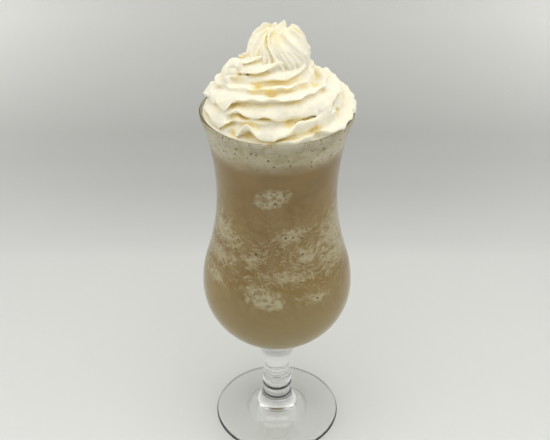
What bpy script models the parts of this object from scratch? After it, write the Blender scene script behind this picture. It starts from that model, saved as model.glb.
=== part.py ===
"""Blended iced latte in a tall footed glass, with a froth layer and a piped swirl of whipped cream.

Lengths are in metres and +Z is up. The glass stands on z = 0 with its axis on the Z axis.
"""

import math

import bmesh
import bpy
from mathutils import Vector, noise

# Bowl of the glass: its wall is four arcs, each tangent to the next.
GLASS_HEIGHT = 0.197
WALL = 0.0023
WAIST_RADIUS = 0.0305
WAIST_HEIGHT = 0.153
WAIST_ARC = 0.130
BELLY_RADIUS = 0.0394
BELLY_HEIGHT = 0.096
BELLY_LOWER_ARC = 0.0358
STEM_RADIUS = 0.0067
FLARE_ARC = 0.040

# Turned rings at the foot of the stem, and the foot that spreads out below them.
RING_COUNT = 3
RING_PITCH = 0.0040
RING_GROOVE_RADIUS = 0.0071
RING_TOP_RADIUS = 0.0077
RING_BOTTOM_RADIUS = 0.0083
RING_FLAT_SHARE = 0.4
COLLAR_HEIGHT = 0.0200
FOOT_TOP_RADIUS = 0.0322
FOOT_TOP_HEIGHT = 0.0039
FOOT_SWEEP = 5.5
FOOT_STEPS = 7
FOOT_SPACING = 1.5
FOOT_EDGE_RADIUS = 0.0019
FOOT_EDGE_MIDDLE = (0.0331, 0.00195)
FOOT_EDGE_START = math.radians(100)
FOOT_EDGE_END = math.radians(-88)
BASE_RING_OUTER = 0.0328
BASE_RING_INNER = 0.0175
BASE_DOME_HEIGHT = 0.0050

# Drink. Each piece keeps a small gap to the one that it touches.
GAP = 0.0003
LATTE_TOP = 0.1760
FROTH_TOP = 0.1920

# Piped rope: it runs anticlockwise in three coils, each higher and tighter than the last.
ROPE_START = math.radians(75)
FRONT = math.radians(270)
ROPE_TURNS = 2.95
COIL_RADII = (0.0260, 0.0206, 0.0093)
COIL_HEIGHTS = (0.1980, 0.2052, 0.2175)
COIL_THICKNESS = (0.0117, 0.0113, 0.0103)
COIL_SHIFTS_X = (0.0019, -0.0001, -0.0008)
COIL_SHIFTS_Y = (0.0013, 0.0004, 0.0)
COIL_TILTS_RIGHT = (0.0032, 0.0010, 0.0022)
COIL_TILTS_BACK = (0.0015, 0.0038, 0.0020)
STEP_UP_TURNS = (1.03, 2.25)
STEP_UP_LENGTH = 0.42
LENGTH_STEPS = 60
RING_SPACING = 0.0025
SEGMENT_TURNS = 0.6
SEGMENT_OVERLAP = 0.05
SEGMENT_TAPER = 0.06
END_SCALE = 0.6

# Ridges of the rope: they twist round it, lean over one another and ruffle where the cream was dragged.
ROPE_RIDGES = 10
RIDGE_DEPTH = 0.0032
RIDGE_UNEVENNESS = 0.28
RIDGE_DRIFT = 1.7
RIDGE_PHASE = 2.3
RIDGE_LEAN = 0.18
FRONT_RUFFLE = 0.26
BACK_RUFFLE = 0.34
RUFFLE_DEPTH = 0.0008
RUFFLE_LENGTH = 0.0046
RUFFLE_PHASE = 3.7
SWING_SEED = 0.5
DEPTH_SEED = 9.5
# On each coil: the angle of ridge 0 at the front in degrees, its twist, and the bend of the twist in degrees.
RIDGE_LAYS = ((5.0, 0.75, 11.5), (255.0, 0.45, -3.0), (440.0, 0.60, 0.0))
# Folds of single ridges, as (turn, ridge, lift in degrees, push outward, reach along the rope).
FOLDS = (
    (0.400, 3, 0.0, -0.0025, 0.0300),
    (0.500, 2, 0.0, -0.0025, 0.0350),
    (0.405, 1, -22.0, 0.0, 0.0050),
    (0.455, 1, 8.0, 0.0, 0.0040),
    (0.530, 1, 11.0, 0.0, 0.0080),
    (0.560, 1, 0.0, -0.0025, 0.0140),
    (0.680, 1, -28.0, 0.0, 0.0090),
    (0.478, 0, 34.0, 0.0020, 0.0030),
    (0.585, 0, 22.0, 0.0, 0.0050),
    (0.645, 0, 24.0, 0.0, 0.0070),
    (0.560, 9, 20.0, 0.0, 0.0090),
    (0.615, 9, 12.0, 0.0, 0.0060),
    (0.700, 8, 0.0, -0.0030, 0.0140),
    (1.400, 5, 0.0, -0.0022, 0.0100),
    (1.560, 5, -14.0, 0.0, 0.0040),
    (1.405, 4, -28.0, 0.0, 0.0030),
    (1.620, 4, -7.0, 0.0, 0.0070),
    (1.500, 3, 0.0, 0.0016, 0.0180),
    (1.447, 3, 11.0, 0.0, 0.0035),
    (1.497, 3, -7.0, 0.0, 0.0040),
    (1.527, 3, 8.0, 0.0, 0.0025),
    (1.562, 3, -9.0, 0.0, 0.0040),
    (1.600, 3, -14.0, 0.0, 0.0070),
    (1.660, 3, -17.0, 0.0, 0.0060),
    (2.350, 0, 0.0, -0.0026, 0.0080),
    (2.350, 1, 0.0, -0.0026, 0.0080),
    (2.350, 9, 0.0, -0.0016, 0.0070),
    (2.485, 9, -6.0, 0.0, 0.0025),
    (2.540, 8, 10.0, 0.0, 0.0025),
    (2.575, 8, -8.0, 0.0, 0.0025),
    (2.600, 7, -12.0, 0.0, 0.0040),
)

# A small curl where the top coil starts: a thin rope wound in an oval round a ball of cream.
CURL_PLACE = Vector((-0.0193, -0.0080, 0.2192))
CURL_FACING = Vector((-0.30, -0.78, 0.55)).normalized()
CURL_TURNS = 0.86
CURL_START = 0.0030
CURL_REACH = 0.0010
CURL_RISE = 0.0012
CURL_THICKNESS = 0.0024
CURL_HEART = 0.0030
CURL_TIP = 0.3
CURL_TAPER = 0.2
CURL_TALL = 1.35
CURL_RINGS = 18
CURL_SIDES = 9

# Cream inside the coils, as (radius, height) down into the glass's wall, and how it is trimmed.
CORE_PROFILE = ((0.0, 0.2200), (0.0120, 0.2180), (0.0230, 0.2080), (0.0300, 0.2000), (0.0365, 0.1965))
CORE_BOTTOM = 0.1910
OVERHANG_DROP = 0.0034
CLEARANCE_DEPTH = 0.0200

# Rosette: the last of the cream, piped straight up and pulled off in a crown of small peaks.
ROSETTE_BASE = 0.2160
ROSETTE_TOP = 0.2366
ROSETTE_RINGS = 9
ROSETTE_RADIUS = 0.0151
ROSETTE_WIDEST = 0.38
ROSETTE_SPREAD = 0.66
ROSETTE_FULLNESS = 2.4
ROSETTE_CENTRE = Vector((0.0004, 0.0, 0.0))
ROSETTE_TOP_SHIFT = Vector((0.0008, 0.0, 0.0))
ROSETTE_RIDGES = 12
ROSETTE_START = math.radians(12)
ROSETTE_RIDGE_DEPTH = 0.0020
ROSETTE_DEPTH_SHARE = 0.55
ROSETTE_UNEVENNESS = 0.25
ROSETTE_PHASE = 2.9
ROSETTE_STRAY = 0.125
ROSETTE_TWIST = math.radians(-55)
LEFT_TWIST = math.radians(-28)
SMOOTH_SIDE = math.radians(340)
SMOOTHING = 0.7
CROWN_HEIGHT = 0.0018
CROWN_START = 0.67

TURNED_SIDES = 40
MERGE_DISTANCE = 0.00001
UP = Vector((0.0, 0.0, 1.0))


def polar(centre, radius, angle):
    return centre[0] + radius * math.cos(angle), centre[1] + radius * math.sin(angle)


def arc(centre, radius, start, end, steps):
    """Points along an arc, both ends included."""
    return [polar(centre, radius, start + (end - start) * i / steps) for i in range(steps + 1)]


def direction(start, end):
    return math.atan2(end[1] - start[1], end[0] - start[0])


def smoothstep(x):
    x = min(max(x, 0.0), 1.0)
    return x * x * (3 - 2 * x)


# Arc centres of the bowl's wall, as (radius, height). The two upper arcs share a tangent, and so
# do the lower belly and the flare of the stem, which sets the radius or height of one in each pair.
BELLY_DROP = BELLY_RADIUS - WAIST_RADIUS
BELLY_UPPER_ARC = ((WAIST_HEIGHT - BELLY_HEIGHT) ** 2 + BELLY_DROP**2) / (2 * BELLY_DROP) - WAIST_ARC
WAIST_CENTRE = (WAIST_RADIUS + WAIST_ARC, WAIST_HEIGHT)
UPPER_CENTRE = (BELLY_RADIUS - BELLY_UPPER_ARC, BELLY_HEIGHT)
LOWER_CENTRE = (BELLY_RADIUS - BELLY_LOWER_ARC, BELLY_HEIGHT)
FLARE_REACH = STEM_RADIUS + FLARE_ARC
FLARE_HEIGHT = BELLY_HEIGHT - math.sqrt(
    (BELLY_LOWER_ARC + FLARE_ARC) ** 2 - (FLARE_REACH - LOWER_CENTRE[0]) ** 2
)
FLARE_CENTRE = (FLARE_REACH, FLARE_HEIGHT)


def wall_angle(height, inset):
    """Angle on the waist arc at which the wall, moved in by inset, is at this height."""
    return math.pi - math.asin((height - WAIST_HEIGHT) / (WAIST_ARC + inset))


def upper_wall(inset, top_angle):
    """The wall from top_angle on the waist arc down to the belly's widest point, moved in by inset."""
    joint = direction(UPPER_CENTRE, WAIST_CENTRE)
    waist = arc(WAIST_CENTRE, WAIST_ARC + inset, top_angle, math.pi + joint, 7)
    belly = arc(UPPER_CENTRE, BELLY_UPPER_ARC - inset, joint, 0.0, 3)
    return waist + belly[1:]


def inner_bowl(inset, top_angle):
    """The inside of the bowl down to the middle of its floor."""
    floor = arc(LOWER_CENTRE, BELLY_LOWER_ARC - inset, 0.0, -math.pi / 2, 6)
    return upper_wall(inset, top_angle) + floor[1:] + [(0.0, floor[-1][1])]


def stem_profile():
    """The flare below the bowl, then the turned rings, from top to bottom."""
    joint = direction(LOWER_CENTRE, FLARE_CENTRE)
    belly = arc(LOWER_CENTRE, BELLY_LOWER_ARC, 0.0, joint, 4)
    flare = arc(FLARE_CENTRE, FLARE_ARC, math.pi + joint, math.pi, 5)
    rings = []
    for ring in range(RING_COUNT):
        share = ring / (RING_COUNT - 1)
        crest = RING_TOP_RADIUS + (RING_BOTTOM_RADIUS - RING_TOP_RADIUS) * share
        top = COLLAR_HEIGHT + RING_PITCH * (RING_COUNT - ring)
        rings.append((RING_GROOVE_RADIUS, top))
        rings.append((crest, top - RING_PITCH * (1 - RING_FLAT_SHARE) / 2))
        rings.append((crest, top - RING_PITCH * (1 + RING_FLAT_SHARE) / 2))
    return belly[1:] + flare[1:] + rings + [(RING_GROOVE_RADIUS, COLLAR_HEIGHT)]


def foot_profile():
    """The foot's concave top, its rounded edge, the flat ring that it stands on and the dome inside it."""
    top = []
    for i in range(1, FOOT_STEPS + 1):
        share = (i / FOOT_STEPS) ** FOOT_SPACING
        radius = RING_GROOVE_RADIUS + (FOOT_TOP_RADIUS - RING_GROOVE_RADIUS) * share
        rise = (1 - share) ** FOOT_SWEEP
        top.append((radius, FOOT_TOP_HEIGHT + (COLLAR_HEIGHT - FOOT_TOP_HEIGHT) * rise))
    edge = arc(FOOT_EDGE_MIDDLE, FOOT_EDGE_RADIUS, FOOT_EDGE_START, FOOT_EDGE_END, 5)
    dome_arc = (BASE_RING_INNER**2 + BASE_DOME_HEIGHT**2) / (2 * BASE_DOME_HEIGHT)
    reach = math.asin(BASE_RING_INNER / dome_arc)
    dome = arc((0.0, BASE_DOME_HEIGHT - dome_arc), dome_arc, math.pi / 2 - reach, math.pi / 2, 4)
    return top + edge + [(BASE_RING_OUTER, 0.0)] + dome


def rim_profile(clearance):
    """Over the rim from the inside to the outside, with a clearance from the glass."""
    angle = wall_angle(GLASS_HEIGHT - WALL / 2, WALL / 2)
    middle = polar(WAIST_CENTRE, WAIST_ARC + WALL / 2, angle)
    return angle, arc(middle, WALL / 2 + clearance, angle, angle - math.pi, 4)


def glass_profile():
    """From the middle of the bowl's floor over the rim, down the outside and under the foot."""
    top_angle, rim = rim_profile(0.0)
    inside = inner_bowl(WALL, top_angle)
    return inside[::-1] + rim[1:-1] + upper_wall(0.0, top_angle) + stem_profile() + foot_profile()


def layer_profile(top, bottom):
    """A layer of the drink between two heights, both on the waist arc."""
    inset = WALL + GAP
    side = arc(WAIST_CENTRE, WAIST_ARC + inset, wall_angle(top, inset), wall_angle(bottom, inset), 2)
    return [(0.0, top)] + side + [(0.0, bottom)]


def latte_profile():
    inset = WALL + GAP
    return [(0.0, LATTE_TOP)] + inner_bowl(inset, wall_angle(LATTE_TOP, inset))


def cream_core_profile():
    """The cream inside the coils. It is trimmed to the wall and the froth together with them."""
    return list(CORE_PROFILE) + [(CORE_PROFILE[-1][0], CORE_BOTTOM), (0.0, CORE_BOTTOM)]


def rim_clearance_profile():
    """The drink and the glass's wall with the gap all round, which the cream is cut back from."""
    top_angle, rim = rim_profile(GAP)
    inner, outer = WALL + GAP, -GAP
    bottom, hem = FROTH_TOP + GAP, GLASS_HEIGHT - OVERHANG_DROP
    inside = arc(WAIST_CENTRE, WAIST_ARC + inner, wall_angle(bottom, inner), top_angle, 1)
    outside = arc(WAIST_CENTRE, WAIST_ARC + outer, top_angle, wall_angle(hem, outer), 1)
    base = hem - CLEARANCE_DEPTH
    beyond = outside[-1][0] + CLEARANCE_DEPTH
    return [(0.0, bottom)] + inside + rim[1:-1] + outside + [(beyond, hem), (beyond, base), (0.0, base)]


def add_object(name, points, edges, faces, material=None):
    mesh = bpy.data.meshes.new(name)
    mesh.from_pydata(points, edges, faces)
    mesh.validate()
    obj = bpy.data.objects.new(name, mesh)
    bpy.context.scene.collection.objects.link(obj)
    if material:
        mesh.materials.append(material)
    return obj


def turned(name, profile, material=None):
    """A solid of revolution: the profile is turned about the Z axis."""
    points = [(radius, 0.0, height) for radius, height in profile]
    edges = [(i, i + 1) for i in range(len(points) - 1)]
    obj = add_object(name, points, edges, [], material)
    screw = obj.modifiers.new("Turn", "SCREW")
    screw.steps = screw.render_steps = TURNED_SIDES
    screw.use_merge_vertices = True
    screw.merge_threshold = MERGE_DISTANCE
    screw.use_smooth_shade = True
    return obj


def tube(name, rings, ends):
    """A closed skin over rings of points, with a middle point at each end."""
    count = len(rings[0])
    points = [point for ring in rings for point in ring] + list(ends)
    faces = []
    for r in range(len(rings) - 1):
        for i in range(count):
            j = (i + 1) % count
            a, b = r * count, (r + 1) * count
            faces.append((a + i, a + j, b + j, b + i))
    first, last, base = len(points) - 2, len(points) - 1, (len(rings) - 1) * count
    for i in range(count):
        j = (i + 1) % count
        faces.append((first, j, i))
        faces.append((last, base + i, base + j))
    return add_object(name, points, [], faces)


def by_turn(values, turn):
    """A value that steps from one coil's to the next over each step up."""
    value = values[0]
    for k, step in enumerate(STEP_UP_TURNS):
        share = smoothstep((turn - step) / STEP_UP_LENGTH + 0.5)
        value += (values[k + 1] - values[k]) * share
    return value


def rope_length(turn):
    """Length of the rope's middle line from the start to here."""
    step = turn / LENGTH_STEPS
    return sum(2 * math.pi * by_turn(COIL_RADII, step * (i + 0.5)) * step for i in range(LENGTH_STEPS))


def rope_middle(turn):
    """The rope's middle, so many turns from its start, with its azimuth and the direction outward."""
    azimuth = ROPE_START + 2 * math.pi * turn
    outward = Vector((math.cos(azimuth), math.sin(azimuth), 0.0))
    height = by_turn(COIL_HEIGHTS, turn) - by_turn(COIL_TILTS_RIGHT, turn) * math.cos(azimuth)
    height -= by_turn(COIL_TILTS_BACK, turn) * math.sin(azimuth)
    middle = Vector((by_turn(COIL_SHIFTS_X, turn), by_turn(COIL_SHIFTS_Y, turn), height))
    return middle + outward * by_turn(COIL_RADII, turn), azimuth, outward


def ridge_turn(turn, azimuth):
    """Angle of ridge 0 about the rope's middle line, from each coil's own lay."""
    angles = []
    for coil, (start, twist, bend) in enumerate(RIDGE_LAYS):
        past = azimuth - FRONT - 2 * math.pi * coil
        angles.append(math.radians(start) + twist * past + math.radians(bend) * (1 - math.cos(past)))
    return by_turn(angles, turn)


def ruffle(length, number, seed):
    """How far, from about -1 to 1, one ridge strays at this length along the rope."""
    return noise.noise(Vector((length / RUFFLE_LENGTH, RUFFLE_PHASE * number, seed)))


FOLD_PLACES = [rope_length(fold[0]) for fold in FOLDS]


def folded(length, number):
    """How far one ridge is lifted about the rope and pushed outward by its folds."""
    lift, push = 0.0, 0.0
    for place, (_, ridge, fold_lift, fold_push, reach) in zip(FOLD_PLACES, FOLDS):
        if ridge == number:
            share = math.exp(-(((length - place) / reach) ** 2))
            lift += math.radians(fold_lift) * share
            push += fold_push * share
    return lift, push


def rope_ring(turn, scale):
    """The star-shaped section of the piped rope, and its middle, so many turns from the start."""
    middle, azimuth, outward = rope_middle(turn)
    thickness = by_turn(COIL_THICKNESS, turn)
    length = rope_length(turn)
    twist = ridge_turn(turn, azimuth)
    swing = FRONT_RUFFLE + (BACK_RUFFLE - FRONT_RUFFLE) * (0.5 + 0.5 * math.sin(azimuth))
    ring = []
    for point in range(ROPE_RIDGES * 2):
        number, is_valley = divmod(point, 2)
        angle = math.pi * point / ROPE_RIDGES + twist
        radius = thickness - RIDGE_DEPTH
        if is_valley:
            angle += RIDGE_LEAN
        else:
            drift = math.sin(RIDGE_PHASE * number + RIDGE_DRIFT * azimuth) * math.cos(RIDGE_DRIFT * number)
            lift, push = folded(length, number)
            angle += swing * ruffle(length, number, SWING_SEED) + lift
            radius += RIDGE_DEPTH * (1 + RIDGE_UNEVENNESS * drift) + push
            radius += RUFFLE_DEPTH * ruffle(length, number, DEPTH_SEED)
        ring.append(middle + (outward * math.cos(angle) + UP * math.sin(angle)) * radius * scale)
    return ring, middle


def rope_segment(name, start, end):
    """A length of the rope, which tapers inside its neighbour at each end."""
    rings = []
    turn = start
    while turn < end:
        to_end = min(turn - start, end - turn) / SEGMENT_TAPER
        rings.append(rope_ring(turn, END_SCALE + (1 - END_SCALE) * smoothstep(to_end)))
        turn += RING_SPACING / (2 * math.pi * by_turn(COIL_RADII, turn))
    rings.append(rope_ring(end, END_SCALE))
    return tube(name, [ring for ring, _ in rings][::-1], (rings[-1][1], rings[0][1]))


def rosette_ring(share):
    """A star-shaped ring of the dollop on top, at a share of its height from 0 to 1, and its middle."""
    height = ROSETTE_BASE + (ROSETTE_TOP - ROSETTE_BASE) * share
    bulge = (abs(share - ROSETTE_WIDEST) / ROSETTE_SPREAD) ** ROSETTE_FULLNESS
    radius = ROSETTE_RADIUS * math.sqrt(1 - bulge)
    middle = ROSETTE_CENTRE + ROSETTE_TOP_SHIFT * share + UP * height
    rise = CROWN_HEIGHT * smoothstep((share - CROWN_START) / (1 - CROWN_START))
    ring = []
    for point in range(ROSETTE_RIDGES * 2):
        number, is_valley = divmod(point, 2)
        side = math.pi * point / ROSETTE_RIDGES + ROSETTE_START
        smooth = 0.5 + 0.5 * math.cos(side - SMOOTH_SIDE)
        depth = min(ROSETTE_RIDGE_DEPTH, radius * ROSETTE_DEPTH_SHARE) * (1 - SMOOTHING * smooth**2)
        angle = side + (LEFT_TWIST + (ROSETTE_TWIST - LEFT_TWIST) * smooth) * share**2
        angle += ROSETTE_STRAY * (math.sin(3 * side + 1) + 0.5 * math.sin(5 * side + 6 * share))
        reach = radius - depth
        lift = 0.0
        if not is_valley:
            uneven = 1 + ROSETTE_UNEVENNESS * math.sin(ROSETTE_PHASE * number) * math.cos(3 * share + number)
            reach += depth * uneven
            lift = rise * uneven
        ring.append(middle + Vector((reach * math.cos(angle), reach * math.sin(angle), lift)))
    return ring, middle


def rosette():
    """The dollop on top, whose ridges turn as they rise to a crown of small peaks."""
    rings = [rosette_ring(math.sin(math.pi / 2 * i / (ROSETTE_RINGS - 1))) for i in range(ROSETTE_RINGS)]
    return tube("cream_rosette", [ring for ring, _ in rings], (rings[0][1], rings[-1][1]))


def curl():
    """The small curl at the left, as a thin tube along most of an oval."""
    sideways = UP.cross(CURL_FACING).normalized()
    upward = CURL_FACING.cross(sideways)
    rings, middles = [], []
    for i in range(CURL_RINGS):
        share = i / (CURL_RINGS - 1)
        turned_by = 2 * math.pi * CURL_TURNS * share
        outward = sideways * math.cos(turned_by) + upward * math.sin(turned_by) * CURL_TALL
        middle = CURL_PLACE + outward * (CURL_START + CURL_REACH * share) + CURL_FACING * CURL_RISE * (1 - share)
        thick = CURL_THICKNESS * (CURL_TIP + (1 - CURL_TIP) * smoothstep(min(share, 1 - share) / CURL_TAPER))
        middles.append(middle)
        ring = []
        for side in range(CURL_SIDES):
            angle = 2 * math.pi * side / CURL_SIDES
            aim = outward.normalized() * math.cos(angle) + CURL_FACING * math.sin(angle)
            ring.append(middle + aim * thick)
        rings.append(ring)
    return tube("cream_curl", rings[::-1], (middles[-1], middles[0]))


def curl_heart():
    """The ball of cream inside the curl."""
    bm = bmesh.new()
    bmesh.ops.create_icosphere(bm, subdivisions=2, radius=CURL_HEART)
    bmesh.ops.translate(bm, verts=bm.verts, vec=CURL_PLACE)
    heart = add_object("cream_curl_heart", [], [], [])
    bm.to_mesh(heart.data)
    bm.free()
    return heart


def combine(obj, operation, other, solver="EXACT"):
    """Applies one Boolean to obj and removes what it was combined with."""
    modifier = obj.modifiers.new(operation.title(), "BOOLEAN")
    modifier.operation = operation
    modifier.solver = solver
    if isinstance(other, bpy.types.Collection):
        modifier.operand_type = "COLLECTION"
        modifier.collection = other
        used = list(other.objects)
    else:
        modifier.object = other
        used = [other]
    graph = bpy.context.evaluated_depsgraph_get()
    mesh = bpy.data.meshes.new_from_object(obj.evaluated_get(graph))
    obj.modifiers.clear()
    obj.data = mesh
    for piece in used:
        bpy.data.objects.remove(piece)


def linked_parts(bm):
    """The mesh's vertices, sorted into parts that share no edge, the smallest first."""
    unseen = set(bm.verts)
    parts = []
    while unseen:
        part, reached = [], [unseen.pop()]
        while reached:
            vertex = reached.pop()
            part.append(vertex)
            for edge in vertex.link_edges:
                other = edge.other_vert(vertex)
                if other in unseen:
                    unseen.remove(other)
                    reached.append(other)
        parts.append(part)
    return sorted(parts, key=len)


def doubled_diagonals(bm):
    """Pairs of vertices that would share two edges if every face were split into triangles."""
    trial = bm.copy()
    bmesh.ops.triangulate(trial, faces=trial.faces)
    pairs = [{v.index for v in edge.verts} for edge in trial.edges if len(edge.link_faces) > 2]
    trial.free()
    return pairs


def drop_scraps(obj):
    """Keeps a cut mesh's largest part, in triangles, without the scraps and the hollows sealed inside."""
    bm = bmesh.new()
    bm.from_mesh(obj.data)
    for part in linked_parts(bm)[:-1]:
        bmesh.ops.delete(bm, geom=part, context="VERTS")
    bm.verts.index_update()
    pairs = doubled_diagonals(bm)
    while pairs:
        wide = [face for face in bm.faces if len(face.verts) > 3]
        doubled = [face for face in wide if any(pair <= {v.index for v in face.verts} for pair in pairs)]
        bmesh.ops.poke(bm, faces=doubled)
        bm.verts.index_update()
        pairs = doubled_diagonals(bm)
    bmesh.ops.triangulate(bm, faces=bm.faces)
    bm.to_mesh(obj.data)
    bm.free()


def whipped_cream(material):
    """The coils, the rosette and the cream inside them, as one piece cut to fit the glass."""
    pieces = bpy.data.collections.new("cream_pieces")
    bpy.context.scene.collection.children.link(pieces)
    count = math.ceil(ROPE_TURNS / SEGMENT_TURNS)
    made = []
    for k in range(count):
        start = max(0.0, k * ROPE_TURNS / count - SEGMENT_OVERLAP)
        end = min(ROPE_TURNS, (k + 1) * ROPE_TURNS / count + SEGMENT_OVERLAP)
        made.append(rope_segment(f"cream_rope_{k}", start, end))
    made.append(rosette())
    made.append(curl())
    made.append(curl_heart())
    for piece in made:
        bpy.context.scene.collection.objects.unlink(piece)
        pieces.objects.link(piece)
    cream = turned("whipped_cream", cream_core_profile(), material)
    combine(cream, "UNION", pieces, "MANIFOLD")
    bpy.data.collections.remove(pieces)
    combine(cream, "DIFFERENCE", turned("rim_clearance", rim_clearance_profile()), "MANIFOLD")
    drop_scraps(cream)
    cream.data.materials.clear()
    cream.data.materials.append(material)
    cream.data.shade_smooth()
    cream.data.set_sharp_from_angle(angle=math.radians(50))
    return cream


def surface(name, colour, roughness, transmission=0.0):
    """A Principled material. The colour is linear red, green and blue."""
    material = bpy.data.materials.new(name)
    material.use_nodes = True
    shader = material.node_tree.nodes["Principled BSDF"]
    shader.inputs["Base Color"].default_value = (*colour, 1.0)
    shader.inputs["Roughness"].default_value = roughness
    shader.inputs["Metallic"].default_value = 0.0
    shader.inputs["Transmission Weight"].default_value = transmission
    return material


def clear_scene():
    for obj in list(bpy.data.objects):
        bpy.data.objects.remove(obj)


def main():
    clear_scene()
    clear_glass = surface("clear_soda_glass", (0.92, 0.95, 0.93), 0.03, transmission=1.0)
    blended_coffee = surface("blended_iced_latte", (0.23, 0.15, 0.07), 0.35)
    pale_froth = surface("milk_froth", (0.40, 0.35, 0.24), 0.45)
    cream = surface("whipped_cream", (0.90, 0.85, 0.70), 0.40)
    turned("glass", glass_profile(), clear_glass)
    turned("latte", latte_profile(), blended_coffee)
    turned("froth", layer_profile(FROTH_TOP, LATTE_TOP + GAP), pale_froth)
    whipped_cream(cream)


main()
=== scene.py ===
import math

import bmesh
import bpy
from mathutils import Matrix, Vector, noise


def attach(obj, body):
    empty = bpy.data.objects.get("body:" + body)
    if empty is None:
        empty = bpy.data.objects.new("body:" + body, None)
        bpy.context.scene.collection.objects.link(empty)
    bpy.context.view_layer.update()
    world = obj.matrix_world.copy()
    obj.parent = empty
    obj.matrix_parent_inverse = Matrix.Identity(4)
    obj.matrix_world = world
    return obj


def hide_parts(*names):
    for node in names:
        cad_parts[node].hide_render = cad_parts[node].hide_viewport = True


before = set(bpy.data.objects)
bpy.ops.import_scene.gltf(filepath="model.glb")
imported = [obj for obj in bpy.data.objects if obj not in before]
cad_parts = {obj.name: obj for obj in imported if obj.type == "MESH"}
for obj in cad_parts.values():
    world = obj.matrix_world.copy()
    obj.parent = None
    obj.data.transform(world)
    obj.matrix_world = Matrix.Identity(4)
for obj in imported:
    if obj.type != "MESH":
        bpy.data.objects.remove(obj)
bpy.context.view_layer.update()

BODY = "root"
MM = 0.001

# The photo's frame and the camera that gives its perspective: the glass's axis is 2 px right of the middle.
FRAME_WIDTH_PX, FRAME_HEIGHT_PX = 550, 440
FOCAL_PX = 1000
SENSOR_MM = 36
AXIS_OFFSET_PX = 2
CAMERA_DISTANCE = 430 * MM
CAMERA_HEIGHT = 415.6 * MM
CAMERA_PITCH = math.radians(33.32)
CAMERA_NEAR = 10 * MM

# Glass, as in the part: four arcs that meet in tangents, then the rings and the foot. (mm)
GLASS_HEIGHT = 197.0
WALL = 2.3
WAIST_RADIUS, WAIST_HEIGHT, WAIST_ARC = 30.5, 153.0, 130.0
BELLY_RADIUS, BELLY_HEIGHT, LOWER_ARC = 39.4, 96.0, 35.8
STEM_RADIUS, FLARE_ARC = 6.7, 40.0
RING_COUNT, RING_PITCH, COLLAR_HEIGHT = 3, 4.0, 20.0
GROOVE_RADIUS, RING_TOP_RADIUS, RING_BOTTOM_RADIUS = 7.1, 7.7, 8.3
FOOT_TOP_RADIUS, FOOT_TOP_HEIGHT = 32.2, 3.9
FOOT_SWEEP, FOOT_SPACING, FOOT_POINTS = 5.5, 1.5, 40
FOOT_EDGE_RADIUS, FOOT_EDGE_MIDDLE = 1.9, (33.1, 1.95)
FOOT_EDGE_START, FOOT_EDGE_END = math.radians(100), math.radians(-88)
BASE_RING_OUTER, BASE_RING_INNER, BASE_DOME_HEIGHT = 32.8, 17.5, 5.0
INTO_WALL = 0.1
LATTE_TOP, FROTH_TOP = 176.0, 192.0

# Turned pieces: sides, spacing of the points on each kind of arc (mm), and the angle that stays sharp. Points
# that lie within a weld (mm) of each other become one.
TURNED_SIDES = 144
WALL_STEP, DOME_STEP, RING_STEP, EDGE_STEP = 1.2, 1.0, 0.4, 0.3
SHARP_ANGLE = math.radians(35)
TURNED_WELD, PIPED_WELD = 0.003, 0.001

# Piped cream, as in the part. (mm and radians)
ROPE_START = math.radians(75)
FRONT = math.radians(270)
ROPE_TURNS = 2.95
COIL_RADII = (26.0, 20.6, 9.3)
COIL_HEIGHTS = (198.0, 205.2, 217.5)
COIL_THICKNESS = (11.7, 11.3, 10.3)
COIL_SHIFTS_X = (1.9, -0.1, -0.8)
COIL_SHIFTS_Y = (1.3, 0.4, 0.0)
COIL_TILTS = (3.2, 1.0, 2.2)
COIL_TILTS_BACK = (1.5, 3.8, 2.0)
STEP_UP_TURNS = (1.03, 2.25)
STEP_UP_LENGTH = 0.42
ROPE_RIDGES = 10
RIDGE_DEPTH = 3.2
RIDGE_LEAN = 0.18
CREST_SHARPNESS = 1.3
CREST_UNEVEN, CREST_PHASE, CREST_WAVES = 0.28, 2.3, 1.7
# Where ridge 0 lies on each coil's front, in degrees, how it twists from there and how the twist bends.
RIDGE_LAYS = ((5.0, 0.75, 11.5), (255.0, 0.45, -3.0), (440.0, 0.60, 0.0))
# Folds of single ridges: turn, ridge, lift in degrees, push out in mm, reach along the rope in mm.
FOLDS = (
    (0.400, 3, 0.0, -2.5, 30.0),
    (0.500, 2, 0.0, -2.5, 35.0),
    (0.405, 1, -22.0, 0.0, 5.0),
    (0.455, 1, 8.0, 0.0, 4.0),
    (0.530, 1, 11.0, 0.0, 8.0),
    (0.560, 1, 0.0, -2.5, 14.0),
    (0.680, 1, -28.0, 0.0, 9.0),
    (0.478, 0, 34.0, 2.0, 3.0),
    (0.585, 0, 22.0, 0.0, 5.0),
    (0.645, 0, 24.0, 0.0, 7.0),
    (0.560, 9, 20.0, 0.0, 9.0),
    (0.615, 9, 12.0, 0.0, 6.0),
    (0.700, 8, 0.0, -3.0, 14.0),
    (1.400, 5, 0.0, -2.2, 10.0),
    (1.560, 5, -14.0, 0.0, 4.0),
    (1.405, 4, -28.0, 0.0, 3.0),
    (1.620, 4, -7.0, 0.0, 7.0),
    (1.500, 3, 0.0, 1.6, 18.0),
    (1.447, 3, 11.0, 0.0, 3.5),
    (1.497, 3, -7.0, 0.0, 4.0),
    (1.527, 3, 8.0, 0.0, 2.5),
    (1.562, 3, -9.0, 0.0, 4.0),
    (1.600, 3, -14.0, 0.0, 7.0),
    (1.660, 3, -17.0, 0.0, 6.0),
    (2.350, 0, 0.0, -2.6, 8.0),
    (2.350, 1, 0.0, -2.6, 8.0),
    (2.350, 9, 0.0, -1.6, 7.0),
    (2.485, 9, -6.0, 0.0, 2.5),
    (2.540, 8, 10.0, 0.0, 2.5),
    (2.575, 8, -8.0, 0.0, 2.5),
    (2.600, 7, -12.0, 0.0, 4.0),
)
RUFFLE_LENGTH, RUFFLE_DEPTH = 4.6, 0.8
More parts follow.
